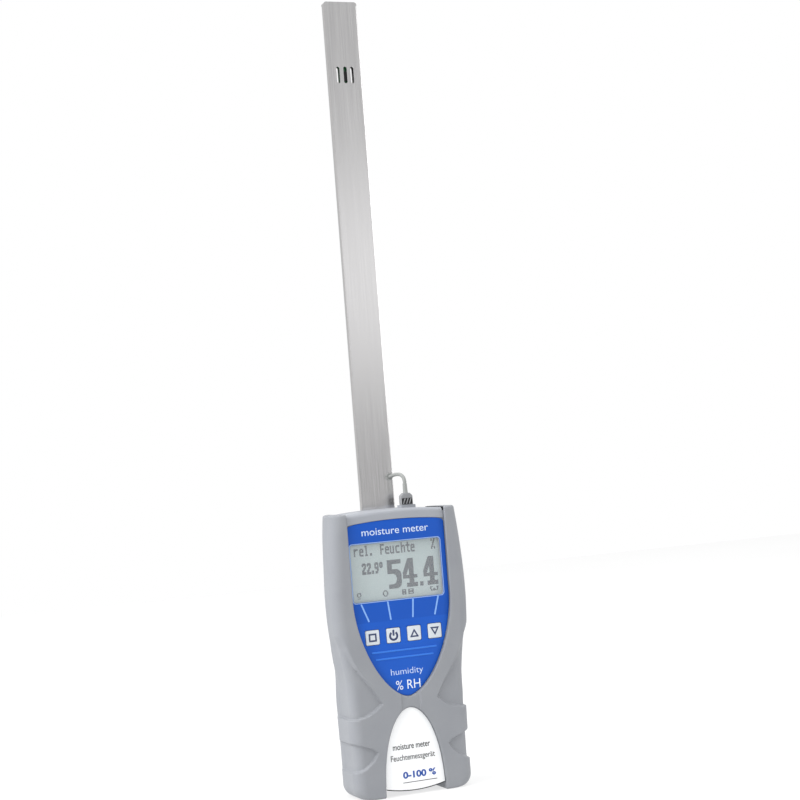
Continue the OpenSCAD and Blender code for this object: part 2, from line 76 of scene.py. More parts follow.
class Nodes:
    """A new procedural material and short ways to add nodes to it."""

    def __init__(self, name):
        self.material = bpy.data.materials.new(name)
        self.material.use_nodes = True
        self.tree = self.material.node_tree
        self.shader = self.tree.nodes["Principled BSDF"]

    def add(self, kind, **inputs):
        """A new node with its inputs set or linked, with _ for each space in their names."""
        node = self.tree.nodes.new(kind)
        for key, value in inputs.items():
            socket = node.inputs[key.replace("_", " ")]
            if isinstance(value, bpy.types.NodeSocket):
                self.tree.links.new(value, socket)
            else:
                socket.default_value = value
        return node

    def place(self, scale=(1, 1, 1)):
        """Object coordinates in millimetres, stretched by scale."""
        coords = self.add("ShaderNodeTexCoord")
        mapping = self.add("ShaderNodeMapping", Vector=coords.outputs["Object"])
        mapping.inputs["Scale"].default_value = [1000 * s for s in scale]
        return mapping.outputs["Vector"]

    def noise(self, scale, detail=3.0, stretch=(1, 1, 1), roughness=0.5):
        node = self.add("ShaderNodeTexNoise", Vector=self.place(stretch))
        node.inputs["Scale"].default_value = scale
        node.inputs["Detail"].default_value = detail
        node.inputs["Roughness"].default_value = roughness
        return node.outputs["Fac"]

    def ramp(self, value, low, high, start=0.0, end=1.0):
        node = self.add("ShaderNodeMapRange", Value=value)
        node.inputs["From Min"].default_value = start
        node.inputs["From Max"].default_value = end
        node.inputs["To Min"].default_value = low
        node.inputs["To Max"].default_value = high
        return node.outputs["Result"]

    def math(self, operation, a, b):
        node = self.tree.nodes.new("ShaderNodeMath")
        node.operation = operation
        for socket, value in zip(node.inputs, (a, b)):
            if isinstance(value, bpy.types.NodeSocket):
                self.tree.links.new(value, socket)
            else:
                socket.default_value = value
        return node.outputs["Value"]

    def mix(self, factor, a, b):
        """Colour a where the factor is 0 and colour b where it is 1."""
        node = self.tree.nodes.new("ShaderNodeMix")
        node.data_type = "RGBA"
        for index, value in ((0, factor), (6, a), (7, b)):
            if isinstance(value, bpy.types.NodeSocket):
                self.tree.links.new(value, node.inputs[index])
            elif index == 0:
                node.inputs[0].default_value = value
            else:
                node.inputs[index].default_value = (*value, 1)
        return node.outputs[2]

    def use(self, **sockets):
        """Sets or links the shader's inputs, with _ for each space in their names."""
        for key, value in sockets.items():
            socket = self.shader.inputs[key.replace("_", " ")]
            if isinstance(value, bpy.types.NodeSocket):
                self.tree.links.new(value, socket)
            elif isinstance(value, tuple) and len(value) == 3:
                socket.default_value = (*value, 1)
            else:
                socket.default_value = value

    def bump(self, height, strength, distance_mm):
        node = self.add("ShaderNodeBump", Height=height)
        node.inputs["Strength"].default_value = strength
        node.inputs["Distance"].default_value = distance_mm * MM
        self.tree.links.new(node.outputs["Normal"], self.shader.inputs["Normal"])


def moulded(name, light, dark, rough=(0.4, 0.55), grain=1.2, depth=0.02):
    """Moulded plastic or rubber: fine spark grain, faint cloudy tone and uneven gloss."""
    m = Nodes(name)
    cloud = m.noise(0.06, 4.0)
    fine = m.noise(grain, 3.0, roughness=0.6)
    tone = m.math("ADD", m.math("MULTIPLY", cloud, 0.7), m.math("MULTIPLY", fine, 0.3))
    m.use(
        Base_Color=m.mix(m.ramp(tone, 0.0, 1.0, 0.3, 0.7), dark, light),
        Roughness=m.ramp(fine, rough[0], rough[1], 0.3, 0.7),
    )
    m.bump(fine, 0.5, depth)
    return m.material


def brushed(name, light, dark, rough):
    """Metal brushed along Z: long streaks in tone, gloss and bump."""
    m = Nodes(name)
    stretch = (1, 1, 0.012)
    streaks = m.noise(2.2, 5.0, stretch, 0.65)
    broad = m.noise(0.35, 3.0, stretch)
    tone = m.math("ADD", m.math("MULTIPLY", streaks, 0.6), m.math("MULTIPLY", broad, 0.4))
    m.use(
        Base_Color=m.mix(m.ramp(tone, 0.0, 1.0, 0.32, 0.68), dark, light),
        Metallic=1.0,
        Roughness=m.ramp(streaks, rough[0], rough[1], 0.3, 0.7),
        Anisotropic=0.6,
    )
    tangent = m.add("ShaderNodeTangent")
    tangent.direction_type = "RADIAL"
    tangent.axis = "Z"
    m.tree.links.new(tangent.outputs["Tangent"], m.shader.inputs["Tangent"])
    m.bump(streaks, 0.35, 0.01)
    return m.material


def paint(node, material):
    """Gives a carried-over CAD node its material."""
    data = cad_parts[node].data
    data.materials.clear()
    data.materials.append(material)


# ---- mesh helpers, all in millimetres ----

def mesh_piece(name, points, faces, material, body, smooth=True):
    """A piece made from points and faces."""
    data = bpy.data.meshes.new(name)
    data.from_pydata([(x * MM, y * MM, z * MM) for x, y, z in points], [], faces)
    data.validate()
    data.polygons.foreach_set("use_smooth", [smooth] * len(data.polygons))
    data.materials.append(material)
    piece = bpy.data.objects.new(name, data)
    scene.collection.objects.link(piece)
    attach(piece, body)
    return piece


def joined(name, curve_object, material, body):
    """The mesh of a curve or text object as a piece of its own."""
    bpy.context.view_layer.update()
    depsgraph = bpy.context.evaluated_depsgraph_get()
    data = bpy.data.meshes.new_from_object(curve_object.evaluated_get(depsgraph))
    data.transform(curve_object.matrix_world)
    bpy.data.objects.remove(curve_object)
    data.materials.clear()
    data.materials.append(material)
    piece = bpy.data.objects.new(name, data)
    scene.collection.objects.link(piece)
    weld(piece, 30)
    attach(piece, body)
    return piece


def weld(piece, angle):
    """Merges doubled points and keeps edges sharper than the angle, in degrees, sharp."""
    work = bmesh.new()
    work.from_mesh(piece.data)
    bmesh.ops.remove_doubles(work, verts=work.verts, dist=0.002 * MM)
    bmesh.ops.recalc_face_normals(work, faces=work.faces)
    for face in work.faces:
        face.smooth = True
    for edge in work.edges:
        edge.smooth = edge.is_manifold and edge.calc_face_angle(math.pi) < math.radians(angle)
    work.to_mesh(piece.data)
    work.free()


def plate_curve(outlines, y_front, y_back, bevel=0.0, steps=3):
    """Flat piece between two Y planes with rounded rims, from closed outlines in X and Z.
    Outlines inside another one are holes."""
    data = bpy.data.curves.new("plate", "CURVE")
    data.dimensions = "2D"
    data.fill_mode = "BOTH"
    data.extrude = (y_back - y_front) / 2 * MM - bevel * MM
    data.bevel_depth = bevel * MM
    data.bevel_resolution = steps
    data.offset = -bevel * MM
    for outline in outlines:
        spline = data.splines.new("POLY")
        spline.points.add(len(outline) - 1)
        for point, (x, z) in zip(spline.points, outline):
            point.co = (x * MM, z * MM, 0, 1)
        spline.use_cyclic_u = True
    plate = bpy.data.objects.new("plate", data)
    plate.matrix_world = Matrix((
        (1, 0, 0, 0),
        (0, 0, -1, (y_front + y_back) / 2 * MM),
        (0, 1, 0, 0),
        (0, 0, 0, 1),
    ))
    scene.collection.objects.link(plate)
    return plate


def round_rect(x, z, w, h, r, steps=6):
    """Outline of a rectangle with round corners about a centre."""
    points = []
    for cx, cz, start in ((1, 1, 0), (-1, 1, 90), (-1, -1, 180), (1, -1, 270)):
        for i in range(steps + 1):
            a = math.radians(start + 90 * i / steps)
            points.append((
                x + cx * (w / 2 - r) + r * math.cos(a),
                z + cz * (h / 2 - r) + r * math.sin(a),
            ))
    return points


def circle(x, z, r, steps=32):
    return [
        (x + r * math.cos(2 * math.pi * i / steps), z + r * math.sin(2 * math.pi * i / steps))
        for i in range(steps)
    ]


def bar(x0, z0, x1, z1, w):
    """Outline of a straight bar with round ends."""
    a = math.atan2(z1 - z0, x1 - x0)
    points = []
    for x, z, start in ((x1, z1, a - math.pi / 2), (x0, z0, a + math.pi / 2)):
        for i in range(7):
            t = start + math.pi * i / 6
            points.append((x + w / 2 * math.cos(t), z + w / 2 * math.sin(t)))
    return points


# ---- materials ----

def foil_material():
    """Blue polyester foil: fine grain, and a lighter blue below the upper field's edge."""
    m = Nodes("blue_foil")
    fine = m.noise(2.6, 3.0, roughness=0.6)
    cloud = m.noise(0.05, 2.0)
    height = m.add("ShaderNodeSeparateXYZ", Vector=m.place()).outputs["Z"]
    edge_z = 93.3
    lower = m.ramp(height, 1.0, 0.0, edge_z - 0.2, edge_z + 0.2)
    field = m.mix(lower, (0.006, 0.080, 0.44), (0.008, 0.095, 0.50))
    m.use(
        Base_Color=m.mix(m.ramp(cloud, 0.0, 0.5, 0.3, 0.7), field, (0.005, 0.074, 0.42)),
        Roughness=m.ramp(fine, 0.34, 0.46, 0.3, 0.7),
        Specular_IOR_Level=0.25,
    )
    m.bump(fine, 0.4, 0.008)
    return m.material


def print_material(name, color):
    """Screen print: even ink with a slightly mottled gloss."""
    m = Nodes(name)
    fine = m.noise(3.0, 2.0)
    darker = tuple(c * 0.88 for c in color)
    m.use(Base_Color=m.mix(m.ramp(fine, 0.0, 1.0, 0.3, 0.7), darker, color),
          Roughness=m.ramp(fine, 0.45, 0.6, 0.3, 0.7))
    return m.material


def lcd_ink():
    """Dark dots of the display."""
    m = Nodes("lcd_ink")
    fine = m.noise(1.5, 2.0)
    m.use(Base_Color=m.mix(m.ramp(fine, 0.0, 1.0, 0.3, 0.7), (0.065, 0.074, 0.096), (0.08, 0.09, 0.112)),
          Roughness=0.5)
    return m.material


def lcd_face():
    """Reflective display: cloudy pale grey-green with a faint grid of dots."""
    m = Nodes("lcd_face")
    place = m.place()
    parts = m.add("ShaderNodeSeparateXYZ", Vector=place)
    columns = m.math("PINGPONG", parts.outputs["X"], 0.2)
    rows = m.math("PINGPONG", parts.outputs["Z"], 0.235)
    grid = m.math("MULTIPLY", columns, rows)
    cloud = m.noise(0.05, 2.0)
    pale = m.mix(m.ramp(cloud, 0.0, 1.0, 0.3, 0.7), (0.345, 0.415, 0.425), (0.375, 0.44, 0.45))
    m.use(Base_Color=m.mix(m.ramp(grid, 0.12, 0.0, 0.0, 0.03), pale, (0.31, 0.37, 0.38)), Roughness=0.4)
    return m.material


def clear_pane():
    """Clear window, almost wholly transparent."""
    m = Nodes("clear_pane")
    fine = m.noise(0.4, 2.0)
    m.use(Base_Color=(0.93, 0.96, 0.95), Roughness=m.ramp(fine, 0.05, 0.12, 0.3, 0.7),
          Alpha=m.ramp(fine, 0.06, 0.09, 0.3, 0.7))
    return m.material


def turned_metal(name, light, dark):
    """Bright metal with fine scratches in every direction."""
    m = Nodes(name)
    fine = m.noise(2.2, 5.0, roughness=0.7)
    m.use(Base_Color=m.mix(m.ramp(fine, 0.0, 1.0, 0.35, 0.65), dark, light), Metallic=1.0,
          Roughness=m.ramp(fine, 0.22, 0.42, 0.3, 0.7))
    m.bump(fine, 0.3, 0.01)
    return m.material


def board_material():
    """Green solder mask with fine lighter tracks running across it."""
    m = Nodes("board_green")
    place = m.add("ShaderNodeSeparateXYZ", Vector=m.place())
    bend = m.math("MULTIPLY", m.noise(0.12, 1.0), 3.0)
    lanes = m.math("PINGPONG", m.math("ADD", place.outputs["X"], bend), 0.9)
    breaks = m.noise(0.35, 1.0)
    track = m.math("MULTIPLY", m.ramp(lanes, 1.0, 0.0, 0.12, 0.2), m.ramp(breaks, 0.0, 1.0, 0.48, 0.5))
    fine = m.noise(2.0, 2.0)
    m.use(Base_Color=m.mix(track, (0.012, 0.10, 0.035), (0.03, 0.19, 0.07)),
          Roughness=m.ramp(fine, 0.28, 0.38, 0.3, 0.7), Coat_Weight=0.3)
    m.bump(track, 0.4, 0.02)
    return m.material


def jacket_material():
    """Foil jacket of a cell: plain slate blue, silver towards the lower end, with fine scuffs."""
    m = Nodes("cell_jacket")
    scuffs = m.noise(1.6, 4.0, roughness=0.6)
    height = m.add("ShaderNodeSeparateXYZ", Vector=m.place()).outputs["Z"]
    silver_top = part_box("battery_cells")[0].z / MM + 13.0
    silver = m.ramp(height, 1.0, 0.0, silver_top, silver_top + 0.2)
    m.use(Base_Color=m.mix(silver, (0.045, 0.085, 0.15), (0.56, 0.57, 0.59)),
          Metallic=0.6, Roughness=m.ramp(scuffs, 0.28, 0.44, 0.3, 0.7))
    m.bump(scuffs, 0.2, 0.006)
    return m.material


# ---- surfaces from distance fields, in millimetres ----

def surface_net(field, low, high, step):
    """Points and quads of the surface where the field is 0, one point per mixed grid cell."""
    grid = [np.arange(low[i], high[i] + step, step) for i in range(3)]
    x, y, z = np.meshgrid(*grid, indexing="ij", sparse=True)
    value = np.ascontiguousarray(np.broadcast_to(field(x, y, z), [len(g) for g in grid]))
    inside = value < 0
    cells = [n - 1 for n in value.shape]
    total = np.zeros((3, *cells), np.float32)
    count = np.zeros(cells, np.int8)
    crossing = []
    for axis in range(3):
        lower = [slice(None)] * 3
        upper = [slice(None)] * 3
        lower[axis] = slice(0, -1)
        upper[axis] = slice(1, None)
        a = value[tuple(lower)]
        b = value[tuple(upper)]
        mixed = inside[tuple(lower)] != inside[tuple(upper)]
        crossing.append((mixed, inside[tuple(lower)]))
        share = np.where(mixed, a / np.where(mixed, a - b, 1), 0)
        p, q = [k for k in range(3) if k != axis]
        for dp in (0, 1):
            for dq in (0, 1):
                part = [slice(None)] * 3
                part[p] = slice(dp, cells[p] + dp)
                part[q] = slice(dq, cells[q] + dq)
                here = mixed[tuple(part)]
                count += here
                total[axis] += share[tuple(part)]
                total[p] += here * dp
                total[q] += here * dq
    active = count > 0
    number = np.full(cells, -1, np.int64)
    number[active] = np.arange(active.sum())
    corner = np.argwhere(active)
    points = (corner + (total[:, active] / count[active]).T) * step + np.array(low)
    quads = []
    for axis in range(3):
        mixed, starts_inside = crossing[axis]
        p, q = [(axis + 1) % 3, (axis + 2) % 3]
        where = np.argwhere(mixed)
        keep = (where[:, p] > 0) & (where[:, q] > 0)
        keep &= (where[:, p] < value.shape[p] - 1) & (where[:, q] < value.shape[q] - 1)
        where = where[keep]
        flip = ~starts_inside[tuple(where.T)]
        ring = []
        for dp, dq in ((1, 1), (0, 1), (0, 0), (1, 0)):
            cell = where.copy()
            cell[:, p] -= dp
            cell[:, q] -= dq
            ring.append(number[tuple(cell.T)])
        quad = np.stack(ring, 1)
        quad[flip] = quad[flip][:, ::-1]
        quads.append(quad)
    return points, np.concatenate(quads)


def gradient(field, points, h=0.05):
    """Slope of the field at each point, along X, Y and Z."""
    x, y, z = points.T
    return np.stack([
        field(x + h, y, z) - field(x - h, y, z),
        field(x, y + h, z) - field(x, y - h, z),
        field(x, y, z + h) - field(x, y, z - h),
    ], 1) / (2 * h)


def field_piece(name, field, low, high, step, material, body):
    """A piece whose surface is where the field is 0, shaded by the field's own slope."""
    points, quads = surface_net(field, low, high, step)
    for _ in range(3):
        slope = gradient(field, points)
        size = np.maximum((slope ** 2).sum(1), 0.05)
        move = slope * (field(*points.T) / size)[:, None]
        length = np.linalg.norm(move, axis=1)
        points -= move * np.minimum(1, 0.6 * step / np.maximum(length, 1e-6))[:, None]
    normals = gradient(field, points)
    normals /= np.maximum(np.linalg.norm(normals, axis=1), 1e-6)[:, None]
    piece = mesh_piece(name, points, quads.tolist(), material, body)
    piece.data.normals_split_custom_set_from_vertices(normals.tolist())
    return piece


def both(a, b, r):
    """The overlap of two forms, with their meeting edge rounded by r."""
    u = np.maximum(a + r, 0)
    v = np.maximum(b + r, 0)
    return np.minimum(-r, np.maximum(a, b)) + np.hypot(u, v)


def without(a, b, r):
    """Form a with form b cut away, the rim rounded by r."""
    return both(a, -b, r)


def step_up(value, start, end):
    """Smooth rise from 0 at the start to 1 at the end."""
    t = np.clip((value - start) / (end - start), 0, 1)
    return t * t * (3 - 2 * t)


def outline_field(x, z, outline):
    """Distance in the X-Z plane to a closed outline, less than 0 inside."""
    x, z = np.broadcast_arrays(x, z)
    nearest = np.full(x.shape, 1e9)
    inside = np.zeros(x.shape, bool)
    for (x0, z0), (x1, z1) in zip(outline, outline[1:] + outline[:1]):
        ex, ez = x1 - x0, z1 - z0
        t = np.clip(((x - x0) * ex + (z - z0) * ez) / (ex * ex + ez * ez), 0, 1)
        nearest = np.minimum(nearest, (x - x0 - t * ex) ** 2 + (z - z0 - t * ez) ** 2)
        if z0 != z1:
            cross = (z0 > z) != (z1 > z)
            inside ^= cross & (x < x0 + (z - z0) * ex / ez)
    return np.where(inside, -1, 1) * np.sqrt(nearest)


def plan_field(x, y, half, front, back, front_r, back_r):
    """Distance in the X-Y plane to a rounded outline with its own front and back radius."""
    side = np.abs(x)
    fx = side - (half - front_r)
    fy = (front + front_r) - y
    bx = side - (half - back_r)
    by = y - (back - back_r)
    ahead = np.hypot(np.maximum(fx, 0), np.maximum(fy, 0)) + np.minimum(np.maximum(fx, fy), 0)
    behind = np.hypot(np.maximum(bx, 0), np.maximum(by, 0)) + np.minimum(np.maximum(bx, by), 0)
    return np.where(y < -5, ahead - front_r, behind - back_r)


# ---- rubber cover ----

# Outlines of the front, the same curves as in the CAD model
SHIELD_HALF = 28.1
SHIELD_MID_Z = 105
SHIELD_TIP_Z = 52.3
ARCH_HALF = 17.3
ARCH_TOP_Z = 46.5


def shield_outline(grow, top_z, steps=28):
    """Shield shape of the blue field, up to a height, grown outwards by an amount."""
    half = SHIELD_HALF + grow
    tip = SHIELD_TIP_Z - grow
    side = []
    for i in range(steps + 1):
        s = math.sin(math.radians(90 * (1 - i / steps)))
        side.append((half * (1 - s ** 1.75) ** 0.6, SHIELD_MID_Z - (SHIELD_MID_Z - tip) * s))
    side.append((half, top_z))
    return side + [(-x, z) for x, z in reversed(side[1:])]


def arch_outline(grow, low_z, steps=28):
    """Arch between the legs, down to a height, grown outwards by an amount."""
    half = ARCH_HALF + grow
    top = ARCH_TOP_Z + grow
    side = [(half, low_z)]
    for i in range(steps + 1):
        s = math.sin(math.radians(90 * i / steps))
        side.append((half * (1 - s ** 2.3) ** 0.52, top * s))
    return side + [(-x, z) for x, z in reversed(side[:-1])]


# Sizes of the cover's outside, its hollows and its thinnest wall
COVER_FRONT_Y = -16
COVER_BACK_Y = 16
COVER_TOP_Z = 152.0
COVER_FRONT_R = 6.5
COVER_BACK_R = 12
FOOT_R = 7
UPPER_DEPTH = 1.55
LOWER_DEPTH = 1.45
BRIDGE_DEPTH = 0.75
RIM_WIDTH = 0.75
LEAST_WALL = 1.7

# Outlines of the grip hollows on the right side, and half widths of the cover at some heights
UPPER_GRIP = [(15.6, 50), (20, 57.5), (25, 64.8), (29, 71), (33, 80), (36.5, 90), (60, 90),
              (60, 43.2), (30, 42.9), (25, 44), (20, 46.5)]
LOWER_GRIP = [(20.2, 24.6), (23, 26.8), (28, 28.8), (33, 30.2), (60, 31), (60, 14.2),
              (33, 14.7), (28, 16.6), (23, 20.2)]
COVER_HEIGHTS = (0, 14, 34, 44, 60, 75, 88, 98, 108, 118, 128, 140, 152)
COVER_HALVES = (34.0, 34.0, 34.2, 34.4, 35.5, 37.1, 38.5, 39.1, 39.2, 38.9, 38.3, 37.3, 35.9)


def cover_half(z):
    """Half width of the cover at a height, smoothed over the knots."""
    return sum(np.interp(z + d, COVER_HEIGHTS, COVER_HALVES) for d in (-4, -2, 0, 2, 4)) / 5


def housing_half(z):
    """Half width of the housing at a height, with a little room."""
    return np.interp(z, (0, 44, 105, 149.5), (31.2, 31.2, 35.0, 33.4)) + 0.15


def outer_form(x, y, z):
    """The cover without its hollows: waisted, rounded in plan and at the foot."""
    foot = np.clip(FOOT_R - z, 0, FOOT_R)
    half = cover_half(z) - (FOOT_R - np.sqrt(np.maximum(FOOT_R ** 2 - foot ** 2, 0)))
    upper = step_up(z, 44, 88)
    top = step_up(z, 118, 150)
    back_y = COVER_BACK_Y - 2.6 * upper + 0.9 * top
    back_r = COVER_BACK_R + 6.5 * upper - 2 * top
    return plan_field(x, y, half, COVER_FRONT_Y, back_y, COVER_FRONT_R, back_r)


def grip_hollows(side, y, z):
    """Depth of the grip hollows, most in the middle of the flank, fading upwards and backwards."""
    high = outline_field(side, z, UPPER_GRIP)
    low = outline_field(side, z, LOWER_GRIP)
    fade = 1 - step_up(y, 2, 11)
    flank = step_up(side, 27, 33)
    behind = step_up(y, -8, 3)
    rim_up = RIM_WIDTH + 1.3 * step_up(z, 58, 80)
    ahead_depth = np.interp(z, (50, 62, 70, 78, 82, 85, 88), (1.7, 2.35, 2.25, 1.9, 1.5, 0.6, 0))
    behind_depth = np.interp(z, (44, 62, 68, 73, 79, 88), (1.9, 1.9, 1.2, 0.4, 0, 0))
    flank_depth = ahead_depth + behind * (behind_depth - ahead_depth)
    depth = UPPER_DEPTH + flank * (flank_depth - UPPER_DEPTH)
    upper_hollow = depth * fade * step_up(-high, -0.25, rim_up)
    lower_hollow = (LOWER_DEPTH + 0.15 * flank) * fade * step_up(-low, -0.25, RIM_WIDTH)
    return upper_hollow + lower_hollow


def bridge_step(x, y, z):
    """Depth of the shallow step of the bridge between the two front openings."""
    bridge = np.abs(x - 0.5 + 0.06 * (49.5 - z)) - 5.4
    near_front = step_up(-y, 13.5, 15)
    return BRIDGE_DEPTH * near_front * step_up(-bridge, -0.45, 0.45) * step_up(60 - z, 0, 4)


def housing_room(x, y, z):
    """The space that the housing fills, with its domed top and its arched foot."""
    inner = plan_field(x, y, housing_half(z), -14.1, 13.1, 7, 13)
    dome = z - (152.8 + 0.1 - x * x / 560)
    foot_rise = 2.0 + x * x / 142 - z
    return np.maximum(np.maximum(inner, dome), foot_rise)


def cut_openings(form, x, y, z):
    """Cuts the openings of the front, head, foot and back, each with a rounded rim."""
    side = np.abs(x)
    shield = outline_field(x, z, shield_outline(0, 170))
    form = without(form, np.maximum(shield, y + 8), 0.9)
    arch = outline_field(x, z, arch_outline(0, -6))
    form = without(form, np.maximum(arch, y + 8), 0.7)
    ears = np.maximum(np.maximum(side - SHIELD_HALF, 146.5 - z), y - 13.0)
    form = without(form, ears, 0.5)
    gap = np.maximum(np.maximum(side - ARCH_HALF, z - 6), -20 - y)
    form = without(form, gap, 0.5)
    door = both(both(side - 26, z - 69, 4), 9 - y, 0.1)
    form = without(form, door, 0.6)
    clamp = both(both(side - 26, 85 - z, 4), 9 - y, 0.1)
    return without(form, clamp, 0.6)


def cover_field(x, y, z):
    """Distance to the surface of the rubber cover, less than 0 inside the rubber."""
    outer = outer_form(x, y, z) + grip_hollows(np.abs(x), y, z) + bridge_step(x, y, z)
    ends = both(z - COVER_TOP_Z, -z, 0.1)
    form = both(outer, ends, 1.3)
    form = np.maximum(form, -np.maximum(housing_room(x, y, z), outer + LEAST_WALL))
    return cut_openings(form, x, y, z)


# ---- pieces and materials of the body ----

GRID_STEP = 0.72
cover_rubber = moulded("cover_rubber", (0.268, 0.278, 0.298), (0.240, 0.250, 0.272), (0.5, 0.64), 1.6,
                       0.014)
sleeve = field_piece("rubber_sleeve", cover_field, (-41.2, -17.2, -1.2), (41.2, 17.6, 153.2), GRID_STEP,
                     cover_rubber, "housing")
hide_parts("rubber_cover")

case_plastic = moulded("case_plastic", (0.325, 0.34, 0.37), (0.295, 0.31, 0.34), (0.42, 0.55), 1.9, 0.012)
dark_plastic = moulded("dark_plastic", (0.035, 0.035, 0.038), (0.022, 0.022, 0.024), (0.4, 0.6), 1.4)
clamp_plastic = moulded("clamp_plastic", (0.085, 0.087, 0.092), (0.06, 0.062, 0.066), (0.45, 0.6), 1.5)
plug_plastic = moulded("plug_plastic", (0.27, 0.275, 0.285), (0.23, 0.235, 0.245), (0.42, 0.55), 2.4, 0.01)
sheath = moulded("cable_sheath", (0.30, 0.31, 0.30), (0.26, 0.27, 0.265), (0.45, 0.6), 2.6, 0.008)
black_rubber = moulded("black_rubber", (0.012, 0.012, 0.013), (0.007, 0.007, 0.008), (0.55, 0.7), 1.8)
label_white = moulded("label_white", (0.90, 0.91, 0.92), (0.86, 0.87, 0.88), (0.34, 0.44), 2.2, 0.004)
diffuser = moulded("diffuser", (0.82, 0.83, 0.79), (0.76, 0.77, 0.73), (0.3, 0.4), 0.8, 0.004)
sword_steel = brushed("sword_steel", (0.80, 0.79, 0.795), (0.75, 0.74, 0.745), (0.17, 0.27))
screw_steel = turned_metal("screw_steel", (0.62, 0.62, 0.61), (0.45, 0.45, 0.44))
nickel = turned_metal("nickel", (0.66, 0.64, 0.60), (0.54, 0.52, 0.48))
board_green = board_material()
part_tan = moulded("part_tan", (0.36, 0.25, 0.12), (0.24, 0.16, 0.08), (0.35, 0.5), 0.8)
jacket = jacket_material()

CAD_MATERIALS = {
    "front_shell": case_plastic, "rear_shell": case_plastic, "socket_collar": case_plastic,
    "battery_door": case_plastic, "housing_seal": cover_rubber, "housing_screws": screw_steel,
    "board_screws": screw_steel, "clamp_screws": screw_steel, "display_frame": dark_plastic,
    "processor_chip": dark_plastic, "buzzer": dark_plastic, "humidity_sensor": black_rubber,
    "sword_end_plug": dark_plastic, "backlight": diffuser, "main_board": board_green,
    "sensor_board": board_green, "board_parts": part_tan, "key_switches": nickel,
    "plug_socket": nickel, "plug_shell": nickel, "battery_springs": nickel,
    "battery_contacts": nickel, "sensor_lead": sheath, "cable_grommet": sheath,
    "sword_tube": sword_steel, "sword_tip_cap": sword_steel, "sword_clamp": clamp_plastic,
    "battery_cells": jacket, "door_plate": label_white, "front_label": label_white,
    "display_glass": lcd_face(), "display_pane": clear_pane(),
}
for node, material in CAD_MATERIALS.items():
    paint(node, material)


# ---- plug, relief and cable ----

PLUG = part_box("plug_body")
PLUG_LOW = PLUG[0] / MM
PLUG_HIGH = PLUG[1] / MM
PLUG_X = (PLUG_LOW.x + PLUG_HIGH.x) / 2
PLUG_Y = (PLUG_LOW.y + PLUG_HIGH.y) / 2


def plug_outline():
    """Front outline of the plug: straight sides and a sloping shoulder up to the relief."""
    half = (PLUG_HIGH.x - PLUG_LOW.x) / 2
    shoulder = PLUG_HIGH.z - 1.3
    right = [(half, PLUG_LOW.z), (half, shoulder - 0.5), (half - 0.2, shoulder)]
    right += [(1.9, PLUG_HIGH.z - 0.1), (1.5, PLUG_HIGH.z)]
    return [(PLUG_X + x, z) for x, z in right] + [(PLUG_X - x, z) for x, z in reversed(right)]


plug = joined("plug_housing", plate_curve([plug_outline()], PLUG_LOW.y, PLUG_HIGH.y, 0.4, 4),
              plug_plastic, "housing")
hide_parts("plug_body")


def grip_ribs(y_front, y_back, name):
    """Slanting finger ribs with a rounded crest, on one face of the plug."""
    low, high, lean = PLUG_LOW.z + 0.75, PLUG_LOW.z + 3.3, 1.1
    feet = [PLUG_X + x for x in (-2.3, -0.55, 1.2)]
    outlines = [bar(x, low, x + lean, high, 0.62) for x in feet]
    ribs = plate_curve(outlines, y_front, y_back, 0.14)
    return joined(name, ribs, plug_plastic, "housing")


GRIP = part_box("plug_grip")
grip_front = GRIP[0].y / MM
grip_back = GRIP[1].y / MM
panel = [round_rect(PLUG_X, PLUG_LOW.z + 2.05, 6.2, 3.3, 0.35)]
front_panel = joined("grip_panel_front", plate_curve(panel, grip_front + 0.2, PLUG_LOW.y + 0.1, 0.04),
                     black_rubber, "housing")
joined("grip_panel_back", plate_curve(panel, PLUG_HIGH.y - 0.1, grip_back - 0.2, 0.04),
       black_rubber, "housing")
grip_ribs(grip_front, PLUG_LOW.y + 0.1, "grip_ribs_front")
grip_ribs(PLUG_HIGH.y - 0.1, grip_back, "grip_ribs_back")
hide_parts("plug_grip")


def swept(name, rings, material, body):
    """A closed tube through rings of points, each ring a list of points of equal count."""
    count = len(rings[0])
    points = [p for ring in rings for p in ring]
    faces = []
    for i in range(len(rings) - 1):
        for k in range(count):
            a = i * count + k
            b = i * count + (k + 1) % count
            faces.append((a, b, b + count, a + count))
    faces.append(tuple(range(count - 1, -1, -1)))
    faces.append(tuple(range(len(points) - count, len(points))))
    piece = mesh_piece(name, points, faces, material, body)
    weld(piece, 40)
    return piece


def lathe(name, profile, x, y, material, body, sides=28):
    """A turned piece about an upright axis, from radius and height pairs."""
    turn = [2 * math.pi * k / sides for k in range(sides)]
    rings = [[(x + r * math.cos(a), y + r * math.sin(a), z) for a in turn] for r, z in profile]
    return swept(name, rings, material, body)


def relief_profile():
    """Radius and height pairs of a tapered sleeve with shallow grooves round it."""
    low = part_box("plug_relief")[0].z / MM
    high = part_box("plug_relief")[1].z / MM
    profile = [(1.38, low)]
    for i in range(31):
        t = i / 30
        off_groove = (t * 7 - round(t * 7)) / 0.22
        groove = 0.09 * math.exp(-off_groove ** 2) if 0.1 < t < 0.65 else 0
        profile.append((1.36 - 0.2 * t - groove, low + (high - low) * (0.02 + 0.94 * t)))
    return profile + [(1.05, high)]


relief = lathe("relief_sleeve", relief_profile(), PLUG_X, PLUG_Y, sheath, "housing")
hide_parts("plug_relief")

# The lead's route from the relief into the sword, as in the CAD model
CABLE_ROUTE = [
    (12.3, -1, 165.7), (12.3, -1, 167), (12.2, -0.3, 168.6), (11.8, 0.9, 169.9), (11.2, 2.5, 170.7),
    (10.3, 4.3, 170.9), (9.2, 6, 170.7), (8.1, 7.3, 170.2), (7.5, 8.3, 170), (7.4, 9.2, 170),
    (7.4, 10.1, 170),
]


